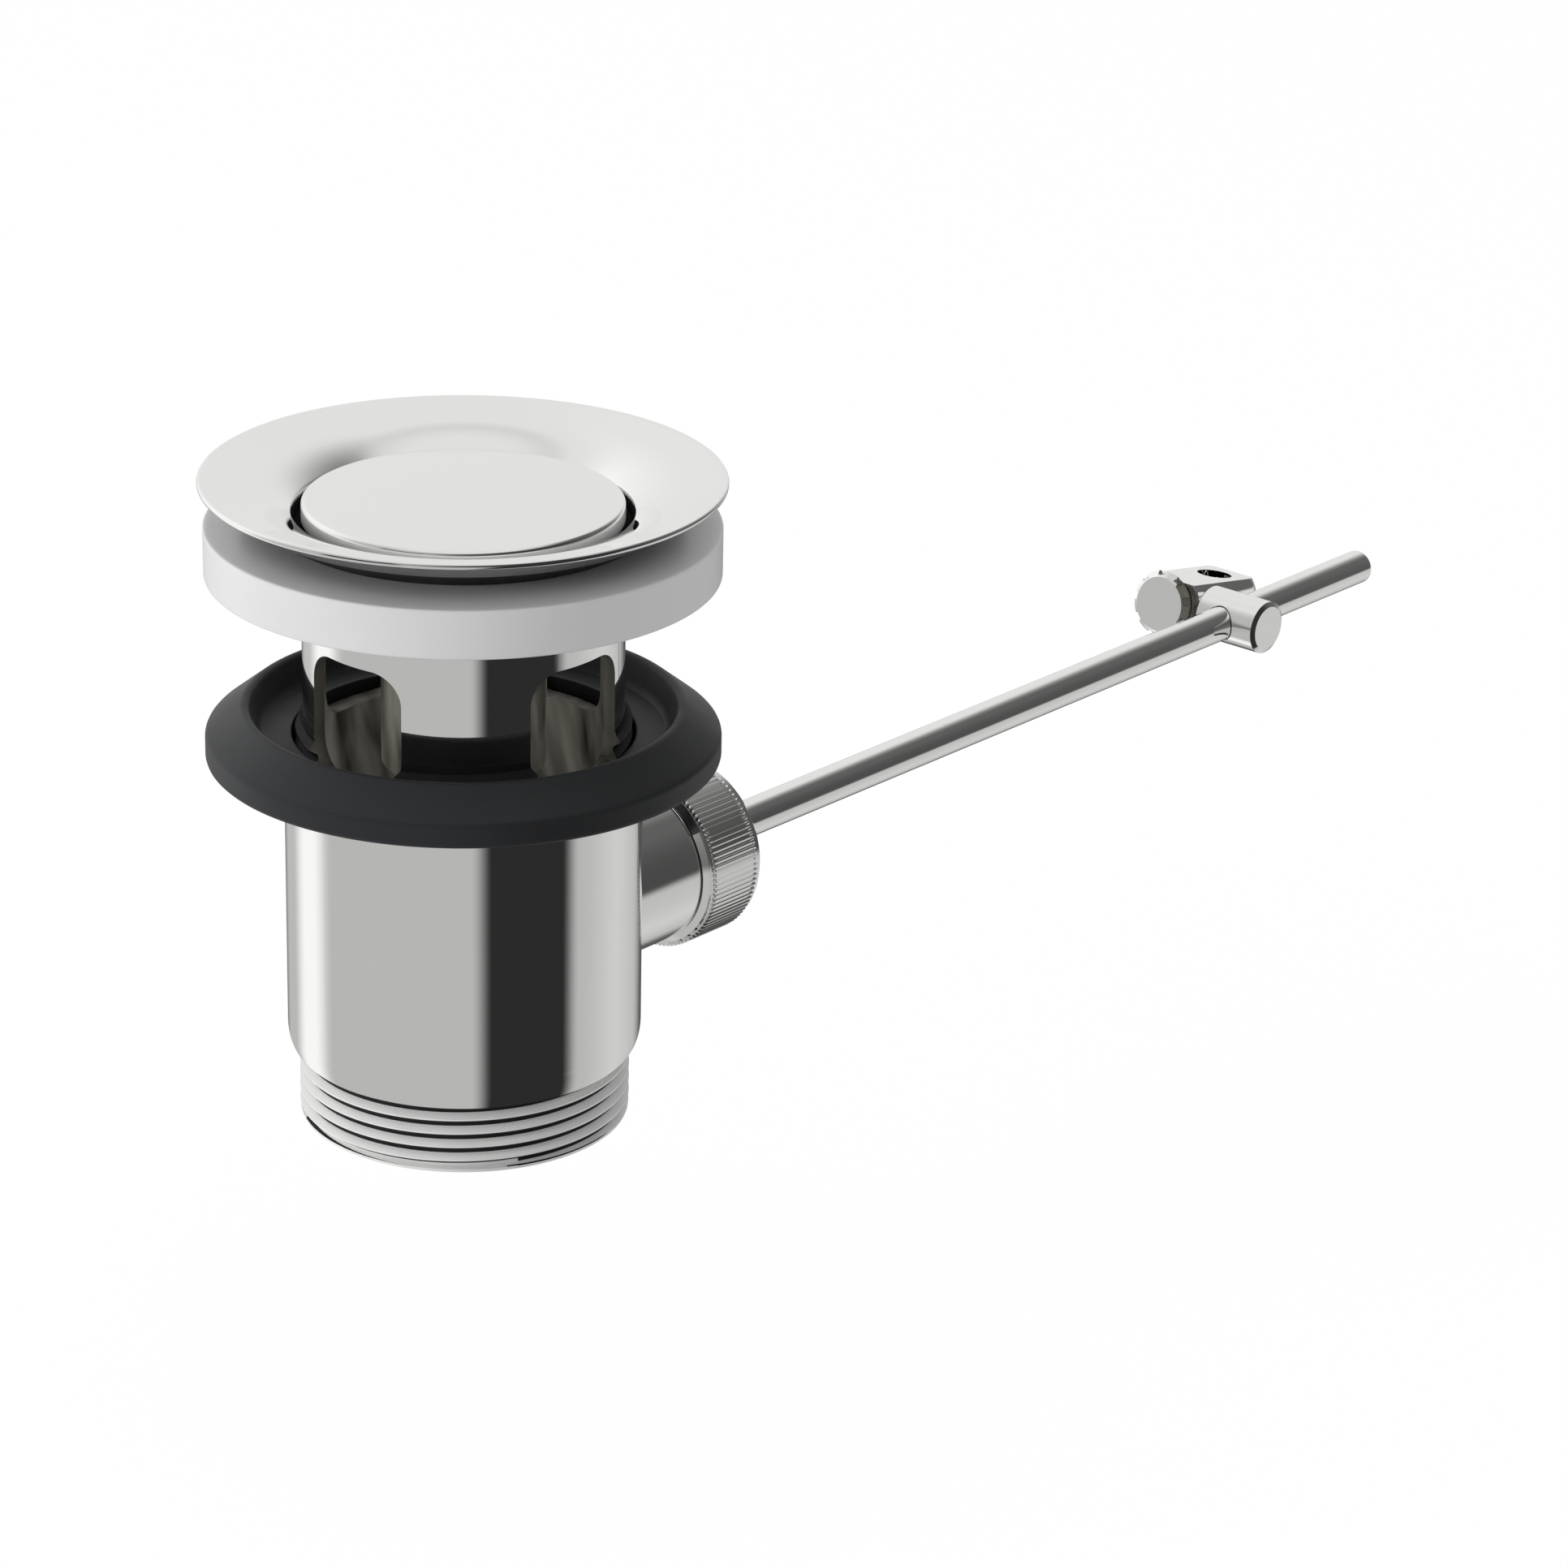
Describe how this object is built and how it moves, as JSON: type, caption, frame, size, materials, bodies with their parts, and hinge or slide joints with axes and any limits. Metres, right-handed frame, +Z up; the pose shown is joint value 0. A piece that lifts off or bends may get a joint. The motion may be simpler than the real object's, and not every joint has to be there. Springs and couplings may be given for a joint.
{
  "type": "basin waste",
  "caption": "Pop-up basin waste: dished flange, slotted cup, seals above and below, plug on a stem, tilting ball rod and a swivel clamp for the pull rod.",
  "frame": {"origin": "on the waste's axis, in the plane of the outlet spigot's lower end", "axes": "+Z up the waste's axis into the basin, +X outwards along the level ball rod, +Y towards the clamp block's side of the rod"},
  "size_m": [0.227, 0.065, 0.0845],
  "materials": {
    "chrome_body": "polished chrome plate on brass",
    "chrome_flange": "polished chrome plate on brass",
    "chrome_plug": "polished chrome plate on brass",
    "chrome_nut": "polished chrome plate, fine straight knurl",
    "chrome_rod": "polished chrome plate on steel",
    "chrome_clamp": "polished chrome plate on brass",
    "bright_steel": "bright zinc plate",
    "black_rubber": "matte moulded rubber",
    "grey_gasket": "matte flat rubber",
    "white_seal": "smooth white polyethylene",
    "white_plastic": "smooth acetal"
  },
  "bodies": {
    "waste": {"waste_body": "chrome_body", "body_gasket": "grey_gasket", "flange_cup": "chrome_flange", "flange_seal": "white_seal", "basin_seal": "black_rubber", "inner_ball_seat": "white_plastic", "outer_ball_seat": "white_plastic", "seat_washer": "black_rubber"},
    "nut": {"ball_nut": "chrome_nut"},
    "plug": {"plug_cap": "chrome_plug", "plug_seal": "black_rubber", "plug_tube": "chrome_plug", "plug_stem": "bright_steel", "stem_lock_nut": "bright_steel", "stem_foot": "white_plastic"},
    "rod": {"ball_rod": "chrome_rod", "pivot_ball": "white_plastic"},
    "barrel": {"swivel_barrel": "chrome_clamp"},
    "clamp": {"clamp_block": "chrome_clamp"},
    "screw": {"thumb_screw": "chrome_clamp"}
  },
  "joints": [
    {"name": "rod_tilt", "type": "hinge", "parent": "waste", "child": "rod", "pos_m": [0.0373, 0, 0.0232], "axis": [0, 1, 0], "range_deg": [0, 13]},
    {"name": "plug_lift", "type": "slide", "parent": "waste", "child": "plug", "axis": [0, 0, 1], "range_m": [0, 0.0088]},
    {"name": "ball_nut_turn", "type": "hinge", "parent": "waste", "child": "nut", "pos_m": [0.0373, 0, 0.0232], "axis": [1, 0, 0], "range_deg": [0, 360]},
    {"name": "clamp_slide", "type": "slide", "parent": "rod", "child": "barrel", "axis": [1, 0, 0], "range_m": [-0.1, 0.025]},
    {"name": "clamp_swivel", "type": "hinge", "parent": "barrel", "child": "clamp", "pos_m": [0.1626, 0.0102, 0.0232], "axis": [0, 1, 0], "range_deg": [-60, 60]},
    {"name": "thumb_screw_turn", "type": "hinge", "parent": "clamp", "child": "screw", "pos_m": [0.1626, 0.0102, 0.0232], "axis": [-0.9848, 0, 0.1736], "range_deg": [0, 720]}
  ],
  "couplings": [
    {"joint": "plug_lift", "follows": "rod_tilt", "m_per_rad": 0.0385}
  ]
}
